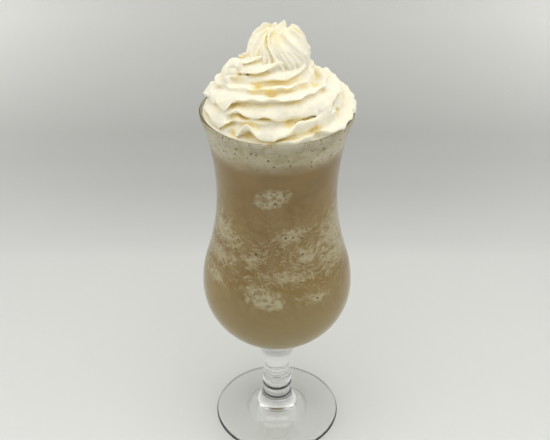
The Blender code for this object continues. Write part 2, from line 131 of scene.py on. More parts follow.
FRONT_RUFFLE, BACK_RUFFLE = 0.26, 0.34
ROPE_END, ROPE_TIP = 0.05, 0.35

# The dollop on top, as in the part. Its unevenness is in radians, in waves round it and up it.
ROSETTE_BASE, ROSETTE_TOP = 216.0, 236.6
ROSETTE_RADIUS, ROSETTE_WIDEST = 15.1, 0.38
ROSETTE_REACH, ROSETTE_FULLNESS = 0.66, 2.4
ROSETTE_CENTRE = (0.4, 0.0)
ROSETTE_TOP_SHIFT = 0.8
ROSETTE_RIDGES = 12
ROSETTE_START = math.radians(12)
ROSETTE_RIDGE_DEPTH, ROSETTE_DEEPEST = 2.0, 0.55
ROSETTE_UNEVEN = 0.125
WIDE_WAVES, WIDE_WAVES_START, SMALL_WAVES, SMALL_WAVES_RISE = 3, 1.0, 5, 6
ROSETTE_CREST_UNEVEN, ROSETTE_CREST_PHASE, ROSETTE_CREST_WAVES = 0.25, 2.9, 3
SMOOTH_SIDE, SMOOTH_FLATNESS = math.radians(340), 0.7
ROSETTE_TWIST, LEFT_TWIST = math.radians(-55), math.radians(-28)

# The small curl at the left: its place, the way it faces, its turn and the rope that it is wound from.
CURL_PLACE, CURL_FACING = (-19.3, -8.0, 219.2), (-0.30, -0.78, 0.55)
CURL_TURNS, CURL_START, CURL_REACH, CURL_RISE = 0.86, 3.0, 1.0, 1.2
CURL_THICKNESS, CURL_TALL, CURL_HEART = 2.4, 1.35, 3.0
CURL_END, CURL_TIP = 0.2, 0.3
CURL_RIDGES, CURL_RIDGE_DEPTH = 3, 0.10

# The cream inside the coils, from the axis out to the glass, and the cut that fits it all to the rim.
CORE_PROFILE = ((0.0, 220.0), (12.0, 218.0), (23.0, 208.0), (30.0, 200.0))
CORE_EDGE_HEIGHT = 196.5
OVERHANG_DROP = 3.4
RIM_GAP = 0.05
CUT_REACH = 20.0

# Finer forms of the cream, which only the scene has. (mm)
# Small pits: turn, angle about the rope in degrees, depth in mm, reach in mm.
PITS = (
    (0.424, 21.0, 2.0, 2.2),
    (0.434, -27.0, 3.0, 2.2),
    (0.458, 42.0, 2.5, 2.4),
    (0.473, -3.0, 3.5, 2.0),
    (0.518, -18.0, 3.0, 2.2),
    (0.617, 9.0, 3.5, 1.9),
    (0.696, 57.0, 2.5, 2.0),
    (1.478, 75.0, 3.0, 2.0),
    (1.528, 57.0, 3.0, 2.0),
    (1.582, -18.0, 3.0, 2.6),
    (1.691, 78.0, 2.5, 2.2),
)
WRINKLE_LENGTH, WRINKLE_DEPTH, WRINKLE_FADE = 1.9, 1.7, 1.5
CROWN_HEIGHT, CROWN_START, CROWN_THINNESS = 2.7, 2 / 3, 2
STRIATIONS, STRIATION_DEPTH, STRIATION_LEAST = 43, 1.1, 0.08
STRIATION_SWAY, SWAY_ALONG, SWAY_AROUND = 1.5, 7, 9
STRIATED_SIDE = math.radians(235)
LUMPS = ((4.0, 0.9), (1.5, 0.35))
POCKET_DEPTH = 0.9
# Warm pockets in the cream, pressed in and given painted shade: place in the photo (px), reach (mm) and share
# of the depth and the painted warm shade.
WARM_POCKETS = (
    (258, 88, 1.7, 1.0),
    (270, 92, 1.8, 0.7),
    (315, 84, 1.5, 0.8),
    (288, 122, 2.0, 0.7),
    (233, 133, 1.9, 0.9),
    (316, 131, 1.6, 1.0),
    (270, 144, 1.6, 0.5),
    (232, 119, 2.2, 0.4),
    (239, 77, 1.8, 0.5),
    (337, 110, 0.9, 0.8),
    (321, 113, 0.8, 0.3),
    (313, 114, 0.9, 0.3),
    (249, 135, 1.5, 0.6),
    (279, 41, 2.6, 0.2),
)
# How far apart neighbouring ridges read the noise, and where their lift, depth and wrinkles read it.
RIDGE_APART, WRINKLE_APART = 3.7, 2.3
LIFT_SLICE, DEPTH_SLICE, WRINKLE_SLICE = 0.5, 9.5, 5.5

# Grids and steps of the cream. (mm, except the counts)
ROPE_STEPS = 60
POINTS_PER_RIDGE = 14
RING_SPACING = 0.8
ROSETTE_RINGS = 40
CURL_RINGS, CURL_POINTS = 48, 30
HEART_SIDES, HEART_RINGS = 32, 16
CREAM_VOXEL = 0.5
SOFTEN_SHARE, SOFTEN_TIMES = 0.5, 3

# Materials measure their patterns and places in mm. A noise pattern is 1 / the size of its largest features,
# its layers of finer detail and how strong those are. A range is what a pattern or place has to reach, from
# and to, and where it has four numbers, the last two are the shares that it gives there.
# The foot's back edge is given painted shade: a greyer glass colour low on its outer edge, at the back.
GLASS_COLOUR, FOOT_EDGE_SHADE_COLOUR = "#fcfdfc", "#bcbebb"
FOOT_EDGE_OUT, FOOT_EDGE_UP, FOOT_EDGE_BACK = (33.8, 34.2), (4.0, 5.0, 1.0, 0.0), (-5.0, 10.0)
GLASS_IOR = 1.52
GLASS_SHADOW, GLASS_EDGE_SHADOW, SHADOW_EDGE_RANGE = "#fdfefd", "#303030", (0.45, 1.0)
CREAM_GRAIN, GRAIN_STRENGTH, GRAIN_HEIGHT = (1 / 1.111, 3.0, 0.6), 0.25, 0.2
# The hollow and pocket colours are painted shade: the warm yellow that light takes on deep in the cream's
# hollows.
CREAM_COLOUR, HOLLOW_SHADE_COLOUR, POCKET_SHADE_COLOUR = "#ece7d4", "#f5e4aa", "#eed781"
HOLLOW_REACH, HOLLOW_SAMPLES, HOLLOW_RANGE = 5.0, 8, (0.25, 0.75, 1.0, 0.0)
CREAM_IN_GLASS, INSIDE_RIM = (194.6, 196.6, 1.0, 0.0), 37.4
CREAM_ROUGHNESS, CREAM_IOR, CREAM_GLOSS = 0.42, 1.45, 0.35
CREAM_SCATTER, CREAM_SCATTER_COLOUR, CREAM_SCATTER_DEPTH = 0.7, (1.0, 0.95, 0.6), 1.4

BROWN_DARK, BROWN_PALE, BROWN_LOW = "#80642f", "#8b703c", "#998655"
CLOUDS, CLOUD_RANGE = (1 / 26.316, 2.0, 0.5), (0.40, 0.62)
LOW_DRINK = (76.0, 122.0, 1.0, 0.0)
SWIRLS, SWIRL_REACH = (1 / 16.667, 3.0, 0.5), 20.0
STREAK_TILT, STREAK_SQUEEZE = math.radians(-35), 2.2
FLECKS, FLECK_RANGE, FLECK_COLOUR = (1 / 4.762, 6.0, 0.7), (0.42, 0.68, 0.0, 0.45), "#a39062"
FLECKS_START, FLECKS_END = (82.0, 104.0), (150.0, 172.0, 1.0, 0.3)
SLUSH_CLOUDS, SLUSH_CLOUD_RANGE = (1 / 26.316, 3.0, 0.5), (0.44, 0.56)
BACK_SLUSH_START, BACK_SLUSH_END = (84.0, 100.0), (142.0, 158.0, 1.0, 0.0)
FRONT_SLUSH_START, FRONT_SLUSH_END = (98.0, 118.0), (138.0, 156.0, 1.0, 0.0)
FRONT_SLUSH_SHARE, BACK_HALF = 0.50, (-4.0, 10.0)
FEATHERS, SLUSH_SPREAD = (1 / 3.0303, 8.0, 0.72), 0.31
SLUSH_RANGE, SLUSH_COLOUR = (0.66, 0.84, 0.0, 0.84), "#b8ac88"
SPECKS, SPECK_RANGE, FOAM_SHARE, FOAM_COLOUR = (1 / 2.381, 4.0, 0.6), (0.35, 0.58), 0.75, "#bdb596"
MOTTLE, MOTTLE_RANGE, FROTH_DARK, FROTH_PALE = (1 / 8.333, 6.0, 0.65), (0.36, 0.62), "#9f9069", "#b9af92"
SMEAR_RANGE, SMEAR_COLOUR = (0.40, 0.62, 0.0, 0.8), "#cbc3a8"
BOUNDARY_WAVES, BOUNDARY_RISE, BOUNDARY = (1 / 16.667, 2.0, 0.5), 3.0, (178.5, 186.0)
OVAL_WAVES, OVAL_WOBBLE = (1 / 3.846, 3.0, 0.5), 1.1
NOISE_MIDDLE = (0.5, 0.5, 0.5)
BUBBLE_COLOUR, SMALLEST_BUBBLE = "#5a4420", 0.35
# Pin bubbles: spacing and radius in mm, and the share of places that have one.
FROTH_BUBBLES, FROTH_BUBBLES_START = (3.4, 0.62, 0.42), (180.0, 181.0)
SLUSH_BUBBLES, PALE_ENOUGH = (5.0, 0.70, 0.40), (0.55, 0.56)
# Soft ovals on the front of the glass: x, height, reach across, reach up (mm), tilt (degrees).
SLUSH_PATCHES = (
    (-25.0, 137.0, 10.0, 12.0, 35.0),
    (-27.0, 123.0, 10.0, 6.0, 10.0),
    (-12.0, 128.0, 8.0, 6.0, 30.0),
    (27.0, 135.0, 12.0, 17.0, -15.0),
    (15.0, 130.0, 10.0, 9.0, -30.0),
    (7.0, 142.0, 11.0, 6.0, 10.0),
    (6.0, 120.0, 20.0, 4.5, -5.0),
    (28.0, 123.0, 11.0, 9.0, -20.0),
    (-30.0, 112.0, 7.0, 5.0, 20.0),
    (20.0, 107.0, 9.0, 4.0, -10.0),
)
FOAM_PATCHES = ((-2.6, 164.0, 8.8, 5.8, 25.0), (-6.5, 109.0, 11.5, 6.5, -15.0))
FROTH_SMEARS = ((26.0, 187.0, 15.0, 5.0, 25.0), (-28.0, 187.0, 10.0, 7.0, -30.0))
SLUSH_PATCH_EDGE, FOAM_EDGE = (0.8, 2.1, 1.0, 0.0), (1.25, 1.60, 1.0, 0.0)
DRINK_IOR, DRINK_GLOSS = 1.34, 0.05
DRINK_SCATTER, DRINK_SCATTER_COLOUR, DRINK_SCATTER_DEPTH = 0.35, (1.0, 0.7, 0.4), 2.0
LATTE_ROUGHNESS, FROTH_ROUGHNESS = 0.5, 0.6

# The paper sweep, which rises behind the glass. (m)
SWEEP_WIDTH, SWEEP_FRONT, SWEEP_BACK = 3.2, 1.6, 0.17
SWEEP_RADIUS, SWEEP_RISE, SWEEP_STEPS = 0.06, 1.0, 24
FLOOR_GAP = 0.2 * MM
# The paper's tones are painted light and shade: even on the table, greyest low on the wall, paler up and out
# from there. (places in mm)
TABLE_TONE, TABLE_DARKER_OUT, TABLE_TO_WALL = 0.73, -0.01, (155.0, 217.0)
WALL_TONE, WALL_PALER_UP, WALL_PALER_OUT = 0.53, (40.0, 150.0, 0.0, 0.16), 0.07
HALF_VIEW, PALEST_TONE = 185.0, 0.92
PAPER_TINT, PAPER_ROUGHNESS = (1.0, 1.005, 0.975), 0.8
# The light tent, with a darker opening toward the camera. OPENING_EDGE is in cosines from its middle.
TENT_COLOUR, OPENING_COLOUR, TENT_STRENGTH = "#f6f6f4", "#747474", 1.60
OPENING_MIDDLE, OPENING_EDGE = (0.0, -0.82, 0.57), (0.40, 0.85)
# Lamps: place and target in m, width in m, power in watts.
LAMPS = (
    ("left_top_panel", (-0.24, -0.35, 0.80), (0.0, 0.0, 0.1), 0.5, 1.15),
    ("right_top_panel", (0.24, -0.35, 0.80), (0.0, 0.0, 0.1), 0.5, 1.25),
    ("overhead_panel", (0.0, 0.05, 0.90), (0.0, 0.02, 0.0), 0.3, 0.75),
)


def linear(hex_colour):
    """An sRGB hex colour as linear red, green, blue and alpha."""
    channels = [int(hex_colour[i:i + 2], 16) / 255 for i in (1, 3, 5)]
    return tuple(c / 12.92 if c <= 0.04045 else ((c + 0.055) / 1.055) ** 2.4 for c in channels) + (1.0,)


def add_node(tree, kind, inputs=(), **settings):
    """Adds a shader node with its settings and links.

    A list of inputs fills the sockets in use in their order, and a dict fills them by name. Each input is a
    value, an sRGB hex colour, another node's output, or another node, whose first output in use is linked.
    """
    made = tree.nodes.new("ShaderNode" + kind)
    for name, value in settings.items():
        setattr(made, name, value)
    if isinstance(inputs, dict):
        filled = [(made.inputs[name], value) for name, value in inputs.items()]
    else:
        filled = list(zip([socket for socket in made.inputs if socket.enabled], inputs))
    for socket, value in filled:
        if isinstance(value, bpy.types.Node):
            value = next(output for output in value.outputs if output.enabled)
        if isinstance(value, bpy.types.NodeSocket):
            tree.links.new(value, socket)
        else:
            socket.default_value = linear(value) if isinstance(value, str) else value
    return made


def direction(start, end):
    """Angle of the line from start to end."""
    return math.atan2(end[1] - start[1], end[0] - start[0])


BELLY_DROP = BELLY_RADIUS - WAIST_RADIUS
UPPER_ARC = ((WAIST_HEIGHT - BELLY_HEIGHT) ** 2 + BELLY_DROP**2) / (2 * BELLY_DROP) - WAIST_ARC
WAIST_CENTRE = (WAIST_RADIUS + WAIST_ARC, WAIST_HEIGHT)
UPPER_CENTRE = (BELLY_RADIUS - UPPER_ARC, BELLY_HEIGHT)
LOWER_CENTRE = (BELLY_RADIUS - LOWER_ARC, BELLY_HEIGHT)
FLARE_REACH = STEM_RADIUS + FLARE_ARC
FLARE_CENTRE = (
    FLARE_REACH,
    BELLY_HEIGHT - math.sqrt((LOWER_ARC + FLARE_ARC) ** 2 - (FLARE_REACH - LOWER_CENTRE[0]) ** 2),
)
UPPER_JOINT = direction(UPPER_CENTRE, WAIST_CENTRE)


def wall_angle(height, inset):
    """Angle on the waist arc at which the wall, moved in by inset, is at this height."""
    return math.pi - math.asin((height - WAIST_HEIGHT) / (WAIST_ARC + inset))


RIM_ANGLE = wall_angle(GLASS_HEIGHT - WALL / 2, WALL / 2)


def on_arc(centre, radius, angle):
    return centre[0] + radius * math.cos(angle), centre[1] + radius * math.sin(angle)


def edit(obj, select_mode="VERT"):
    """Opens one object for editing, with nothing else selected."""
    bpy.ops.object.select_all(action="DESELECT")
    obj.select_set(True)
    bpy.context.view_layer.objects.active = obj
    bpy.ops.object.mode_set(mode="EDIT")
    bpy.ops.mesh.select_mode(type=select_mode)


def done():
    """Closes the object that is open for editing."""
    bpy.ops.object.mode_set(mode="OBJECT")
    bpy.ops.object.select_all(action="DESELECT")


def start_profile(name, point):
    """A piece that is one point, at a radius and height on the XZ plane, ready to be drawn on from."""
    bpy.ops.object.select_all(action="DESELECT")
    bpy.ops.mesh.primitive_plane_add(size=MM, location=(0, 0, 0))
    obj = bpy.context.object
    obj.name = obj.data.name = name
    edit(obj)
    bpy.ops.mesh.select_all(action="SELECT")
    bpy.ops.mesh.merge(type="CENTER")
    bpy.ops.transform.translate(value=(point[0] * MM, 0, point[1] * MM))
    return obj


def draw_line(start, end):
    """Goes on from the last point, which is at start, in a straight line."""
    step = ((end[0] - start[0]) * MM, 0, (end[1] - start[1]) * MM)
    bpy.ops.mesh.extrude_vertices_move(TRANSFORM_OT_translate={"value": step})
    return end


def draw_arc(centre, radius, start, end, step=WALL_STEP):
    """Goes on from the last point along an arc, with a point about every step mm."""
    steps = max(2, round(abs(end - start) * radius / step))
    bpy.ops.mesh.spin(
        steps=steps, angle=end - start, center=(centre[0] * MM, 0, centre[1] * MM), axis=(0, 1, 0)
    )
    return on_arc(centre, radius, end)


def turn_profile(obj):
    """Turns the drawn profile about the Z axis and closes it."""
    bpy.ops.mesh.select_all(action="SELECT")
    bpy.ops.mesh.spin(steps=TURNED_SIDES, angle=2 * math.pi, center=(0, 0, 0), axis=(0, 0, 1))
    bpy.ops.mesh.select_all(action="SELECT")
    bpy.ops.mesh.remove_doubles(threshold=TURNED_WELD * MM)
    bpy.ops.mesh.normals_make_consistent(inside=False)
    done()
    obj.select_set(True)
    bpy.ops.object.shade_smooth_by_angle(angle=SHARP_ANGLE)
    obj.select_set(False)
    return obj


def draw_upper_wall_down(inset, top_angle):
    """The waist and the upper belly from the top down, moved in from the outside by inset."""
    draw_arc(WAIST_CENTRE, WAIST_ARC + inset, top_angle, math.pi + UPPER_JOINT)
    draw_arc(UPPER_CENTRE, UPPER_ARC - inset, UPPER_JOINT, 0.0)


def draw_rings(here):
    """The turned rings of the stem, from the top one down, each a little wider than the last."""
    half = RING_PITCH / 2
    for ring in range(RING_COUNT):
        share = ring / (RING_COUNT - 1)
        crest = RING_TOP_RADIUS + (RING_BOTTOM_RADIUS - RING_TOP_RADIUS) * share
        bulge = crest - GROOVE_RADIUS
        radius = (half**2 + bulge**2) / (2 * bulge)
        middle = (crest - radius, COLLAR_HEIGHT + RING_PITCH * (RING_COUNT - ring) - half)
        reach = math.asin(half / radius)
        here = draw_arc(middle, radius, reach, -reach, RING_STEP)
    return here


def draw_foot(here):
    """The foot: its swept top, rounded edge, the flat ring that it stands on and the hollow inside that."""
    for i in range(1, FOOT_POINTS + 1):
        share = (i / FOOT_POINTS) ** FOOT_SPACING
        radius = GROOVE_RADIUS + (FOOT_TOP_RADIUS - GROOVE_RADIUS) * share
        rise = (1 - share) ** FOOT_SWEEP
        here = draw_line(here, (radius, FOOT_TOP_HEIGHT + (COLLAR_HEIGHT - FOOT_TOP_HEIGHT) * rise))
    here = draw_line(here, on_arc(FOOT_EDGE_MIDDLE, FOOT_EDGE_RADIUS, FOOT_EDGE_START))
    here = draw_arc(FOOT_EDGE_MIDDLE, FOOT_EDGE_RADIUS, FOOT_EDGE_START, FOOT_EDGE_END, EDGE_STEP)
    here = draw_line(here, (BASE_RING_OUTER, 0.0))
    draw_line(here, (BASE_RING_INNER, 0.0))
    dome = (BASE_RING_INNER**2 + BASE_DOME_HEIGHT**2) / (2 * BASE_DOME_HEIGHT)
    reach = math.asin(BASE_RING_INNER / dome)
    draw_arc((0.0, BASE_DOME_HEIGHT - dome), dome, math.pi / 2 - reach, math.pi / 2, DOME_STEP)


def build_glass():
    """The glass in one line: up the inside of the bowl, over the rim, and down the outside to the foot."""
    floor = (0.0, BELLY_HEIGHT - (LOWER_ARC - WALL))
    obj = start_profile("stem_glass", floor)
    draw_line(floor, (LOWER_CENTRE[0], floor[1]))
    draw_arc(LOWER_CENTRE, LOWER_ARC - WALL, -math.pi / 2, 0.0)
    draw_arc(UPPER_CENTRE, UPPER_ARC - WALL, 0.0, UPPER_JOINT)
    draw_arc(WAIST_CENTRE, WAIST_ARC + WALL, math.pi + UPPER_JOINT, RIM_ANGLE)
    rim_middle = on_arc(WAIST_CENTRE, WAIST_ARC + WALL / 2, RIM_ANGLE)
    draw_arc(rim_middle, WALL / 2, RIM_ANGLE, RIM_ANGLE - math.pi, EDGE_STEP)
    draw_upper_wall_down(0.0, RIM_ANGLE)
    flare_joint = direction(LOWER_CENTRE, FLARE_CENTRE)
    draw_arc(LOWER_CENTRE, LOWER_ARC, 0.0, flare_joint)
    here = draw_arc(FLARE_CENTRE, FLARE_ARC, math.pi + flare_joint, math.pi)
    here = draw_line(here, (GROOVE_RADIUS, COLLAR_HEIGHT + RING_COUNT * RING_PITCH))
    draw_foot(draw_rings(here))
    return turn_profile(obj)


def build_latte():
    """The brown drink, which goes a little way into the glass's wall so that no film of air shows."""
    inset = WALL - INTO_WALL
    obj = start_profile("blended_latte", (0.0, LATTE_TOP))
    angle = wall_angle(LATTE_TOP, inset)
    draw_line((0.0, LATTE_TOP), on_arc(WAIST_CENTRE, WAIST_ARC + inset, angle))
    draw_upper_wall_down(inset, angle)
    here = draw_arc(LOWER_CENTRE, LOWER_ARC - inset, 0.0, -math.pi / 2)
    draw_line(here, (0.0, here[1]))
    return turn_profile(obj)


def build_froth():
    """The pale froth between the brown drink and the cream."""
    inset = WALL - INTO_WALL
    obj = start_profile("milk_froth", (0.0, FROTH_TOP))
    start, end = wall_angle(FROTH_TOP, inset), wall_angle(LATTE_TOP, inset)
    draw_line((0.0, FROTH_TOP), on_arc(WAIST_CENTRE, WAIST_ARC + inset, start))
    here = draw_arc(WAIST_CENTRE, WAIST_ARC + inset, start, end)
    draw_line(here, (0.0, LATTE_TOP))
    return turn_profile(obj)


def smoothstep(x):
    x = min(max(x, 0.0), 1.0)
    return x * x * (3 - 2 * x)


def by_turn(values, turn):
    """A value that steps from one coil's to the next over each step up."""
    value = values[0]
    for k, step in enumerate(STEP_UP_TURNS):
        share = smoothstep((turn - step) / STEP_UP_LENGTH + 0.5)
        value += (values[k + 1] - values[k]) * share
    return value


def crest_share(around, ridges):
    """The number of the nearest crest and how far up it a point is, with thin crests and wide hollows."""
    number = round(around * ridges)
    height = 0.5 + 0.5 * math.cos(2 * math.pi * (around * ridges - number))
    return number % ridges, height**CREST_SHARPNESS


TURN_LENGTHS = [0.0]
for i in range(ROPE_STEPS * len(COIL_RADII)):
    step_radius = by_turn(COIL_RADII, (i + 0.5) / ROPE_STEPS)
    TURN_LENGTHS.append(TURN_LENGTHS[-1] + 2 * math.pi * step_radius / ROPE_STEPS)


def rope_length(turn):
    """Length of the rope's middle line from the start to here."""
    whole, part = divmod(turn * ROPE_STEPS, 1)
    start = int(whole)
    end = min(start + 1, len(TURN_LENGTHS) - 1)
    return TURN_LENGTHS[start] * (1 - part) + TURN_LENGTHS[end] * part


def ridge_turn(turn, azimuth):
    """Angle of ridge 0 about the rope's middle line, from each coil's own lay."""
    angles = []
    for coil, (start, twist, bend) in enumerate(RIDGE_LAYS):
        past = azimuth - FRONT - 2 * math.pi * coil
        angles.append(math.radians(start) + twist * past + math.radians(bend) * (1 - math.cos(past)))
    return by_turn(angles, turn)


def fold_of(number, length):
    """How far the folds lift a ridge (radians) and push it out (mm) at this length along the rope."""
    lift, push = 0.0, 0.0
    for fold_turn, ridge, fold_lift, fold_push, reach in FOLDS:
        if ridge == number:
            share = math.exp(-((length - rope_length(fold_turn)) / reach) ** 2)
            lift += math.radians(fold_lift) * share
            push += fold_push * share
    return lift, push


def rope_point(along, around):
    """A point on the piped rope's skin. along and around run from 0 to 1."""
    turn = along * ROPE_TURNS
    azimuth = ROPE_START + 2 * math.pi * turn
    outward = Vector((math.cos(azimuth), math.sin(azimuth), 0.0))
    height = by_turn(COIL_HEIGHTS, turn) - by_turn(COIL_TILTS, turn) * math.cos(azimuth)
    height -= by_turn(COIL_TILTS_BACK, turn) * math.sin(azimuth)
    middle = Vector((by_turn(COIL_SHIFTS_X, turn), by_turn(COIL_SHIFTS_Y, turn), height))
    middle += outward * by_turn(COIL_RADII, turn)
    number, crest = crest_share(around, ROPE_RIDGES)
    uneven = math.sin(CREST_PHASE * number + CREST_WAVES * azimuth) * math.cos(CREST_WAVES * number)
    length = rope_length(turn)
    ruffle = FRONT_RUFFLE + (BACK_RUFFLE - FRONT_RUFFLE) * (0.5 + 0.5 * math.sin(azimuth))
    ruffle_along, own_place = length / RUFFLE_LENGTH, RIDGE_APART * number
    fold_lift, push = fold_of(number, length)
    lift = ruffle * noise.noise(Vector((ruffle_along, own_place, LIFT_SLICE))) + fold_lift
    push += RUFFLE_DEPTH * noise.noise(Vector((ruffle_along, own_place, DEPTH_SLICE)))
    wrinkled = max(0.0, math.cos(azimuth)) ** WRINKLE_FADE
    wrinkle = noise.noise(Vector((length / WRINKLE_LENGTH, WRINKLE_APART * number, WRINKLE_SLICE)))
    push += WRINKLE_DEPTH * wrinkled * wrinkle
    radius = by_turn(COIL_THICKNESS, turn) - RIDGE_DEPTH * (1 - crest * (1 + CREST_UNEVEN * uneven))
    radius += crest * push
    angle = 2 * math.pi * around + ridge_turn(turn, azimuth) + RIDGE_LEAN * (1 - crest) + lift * crest
    for pit_turn, pit_angle, depth, reach in PITS:
        apart = radius * math.remainder(angle - math.radians(pit_angle), 2 * math.pi)
        radius -= depth * math.exp(-((length - rope_length(pit_turn)) ** 2 + apart**2) / reach**2)
    radius *= ROPE_TIP + (1 - ROPE_TIP) * smoothstep(min(turn, ROPE_TURNS - turn) / ROPE_END)
    return middle + (outward * math.cos(angle) + Vector((0, 0, 1)) * math.sin(angle)) * radius


def rosette_point(along, around):
    """A point on the dollop's skin: a dome of ridges that turn as they rise to a crown of small peaks."""
    height = ROSETTE_BASE + (ROSETTE_TOP - ROSETTE_BASE) * along
    from_widest = abs(along - ROSETTE_WIDEST) / ROSETTE_REACH
    radius = ROSETTE_RADIUS * math.sqrt(max(0.0, 1 - from_widest**ROSETTE_FULLNESS))
    number, crest = crest_share(around, ROSETTE_RIDGES)
    uneven = math.sin(ROSETTE_CREST_PHASE * number) * math.cos(ROSETTE_CREST_WAVES * along + number)
    tall = crest * (1 + ROSETTE_CREST_UNEVEN * uneven)
    side = 2 * math.pi * around + ROSETTE_START
    smooth_share = 0.5 + 0.5 * math.cos(side - SMOOTH_SIDE)
    depth = min(ROSETTE_RIDGE_DEPTH, radius * ROSETTE_DEEPEST) * (1 - SMOOTH_FLATNESS * smooth_share**2)
    striated_share = (0.5 + 0.5 * math.cos(side - STRIATED_SIDE)) ** 2
    striated_share = STRIATION_LEAST + (1 - STRIATION_LEAST) * striated_share
    sway = STRIATION_SWAY * math.sin(SWAY_ALONG * along + SWAY_AROUND * around)
    groove = STRIATION_DEPTH * striated_share * math.sin(2 * math.pi * around * STRIATIONS + sway)
    reach = radius - depth * (1 - tall) + groove * min(1.0, radius / ROSETTE_RADIUS)
    twist = LEFT_TWIST + (ROSETTE_TWIST - LEFT_TWIST) * smooth_share
    waves = math.sin(WIDE_WAVES * side + WIDE_WAVES_START)
    waves += math.sin(SMALL_WAVES * side + SMALL_WAVES_RISE * along) / 2
    angle = side + twist * along**2 + ROSETTE_UNEVEN * waves
    in_crown = smoothstep((along - CROWN_START) / (1 - CROWN_START))
    lift = CROWN_HEIGHT * crest**CROWN_THINNESS * tall * in_crown
    centre = Vector((ROSETTE_CENTRE[0] + ROSETTE_TOP_SHIFT * along, ROSETTE_CENTRE[1], height + lift))
    return centre + Vector((math.cos(angle), math.sin(angle), 0)) * reach


def curl_point(along, around):
    """A point on the small curl where the top coil starts: a thin rope wound in an oval round a ball."""
    turned = 2 * math.pi * CURL_TURNS * along
    facing = Vector(CURL_FACING).normalized()
    sideways = Vector((0, 0, 1)).cross(facing).normalized()
    upward = facing.cross(sideways)
    outward = sideways * math.cos(turned) + upward * (math.sin(turned) * CURL_TALL)
    middle = Vector(CURL_PLACE) + outward * (CURL_START + CURL_REACH * along)
    middle += facing * (CURL_RISE * (1 - along))
    angle = 2 * math.pi * around
    thick = CURL_THICKNESS * (CURL_TIP + (1 - CURL_TIP) * smoothstep(min(along, 1 - along) / CURL_END))
    thick *= 1 + CURL_RIDGE_DEPTH * math.cos(CURL_RIDGES * angle)
    return middle + (outward.normalized() * math.cos(angle) + facing * math.sin(angle)) * thick


def piped(name, rings, points, place):
    """A grid rolled up into a skin: place gives the point for each share along and around it."""
    bpy.ops.object.select_all(action="DESELECT")
    bpy.ops.mesh.primitive_grid_add(x_subdivisions=rings, y_subdivisions=points, size=1)
    obj = bpy.context.object
    obj.name = obj.data.name = name
    for vertex in obj.data.vertices:
        along, around = vertex.co.x + 0.5, (vertex.co.y + 0.5) % 1.0
        vertex.co = place(along, around) * MM
    edit(obj)
    bpy.ops.mesh.select_all(action="SELECT")
    bpy.ops.mesh.remove_doubles(threshold=PIPED_WELD * MM)
    bpy.ops.mesh.select_all(action="DESELECT")
    bpy.ops.mesh.select_non_manifold()
    bpy.ops.mesh.edge_face_add()
    bpy.ops.mesh.select_all(action="SELECT")
    bpy.ops.mesh.normals_make_consistent(inside=False)
    done()
    return obj


def build_curl_heart():
    """The ball of cream that the curl is wound round."""
    place = [length * MM for length in CURL_PLACE]
    bpy.ops.mesh.primitive_uv_sphere_add(
        segments=HEART_SIDES, ring_count=HEART_RINGS, radius=CURL_HEART * MM, location=place
    )
    heart = bpy.context.object
    bpy.ops.object.transform_apply(location=True)
    return heart


def build_core():
    """The cream inside the coils, down to the froth."""
    inset = WALL - INTO_WALL
    here = CORE_PROFILE[0]
    core = start_profile("whipped_cream", here)
    angle = wall_angle(CORE_EDGE_HEIGHT, inset)
    for point in (*CORE_PROFILE[1:], on_arc(WAIST_CENTRE, WAIST_ARC + inset, angle)):
        here = draw_line(here, point)
    here = draw_arc(WAIST_CENTRE, WAIST_ARC + inset, angle, wall_angle(FROTH_TOP, inset))
    draw_line(here, (0.0, FROTH_TOP))
    return turn_profile(core)


def build_rim_clearance():
    """The glass's wall and all below the cream's hem, which the cream is cut back from."""
    inner = WALL - INTO_WALL
    hem = GLASS_HEIGHT - OVERHANG_DROP
    obj = start_profile("rim_clearance", (0.0, FROTH_TOP))
    angle = wall_angle(FROTH_TOP, inner)
    draw_line((0.0, FROTH_TOP), on_arc(WAIST_CENTRE, WAIST_ARC + inner, angle))
    here = draw_arc(WAIST_CENTRE, WAIST_ARC + inner, angle, RIM_ANGLE)
    rim_middle = on_arc(WAIST_CENTRE, WAIST_ARC + WALL / 2, RIM_ANGLE)
    rim_radius = WALL / 2 + RIM_GAP
    draw_line(here, on_arc(rim_middle, rim_radius, RIM_ANGLE))
    draw_arc(rim_middle, rim_radius, RIM_ANGLE, RIM_ANGLE - math.pi, EDGE_STEP)
    here = draw_arc(WAIST_CENTRE, WAIST_ARC - RIM_GAP, RIM_ANGLE, wall_angle(hem, -RIM_GAP))
    far = here[0] + CUT_REACH
    for point in ((far, hem), (far, hem - CUT_REACH), (0.0, hem - CUT_REACH)):
        here = draw_line(here, point)
    return turn_profile(obj)


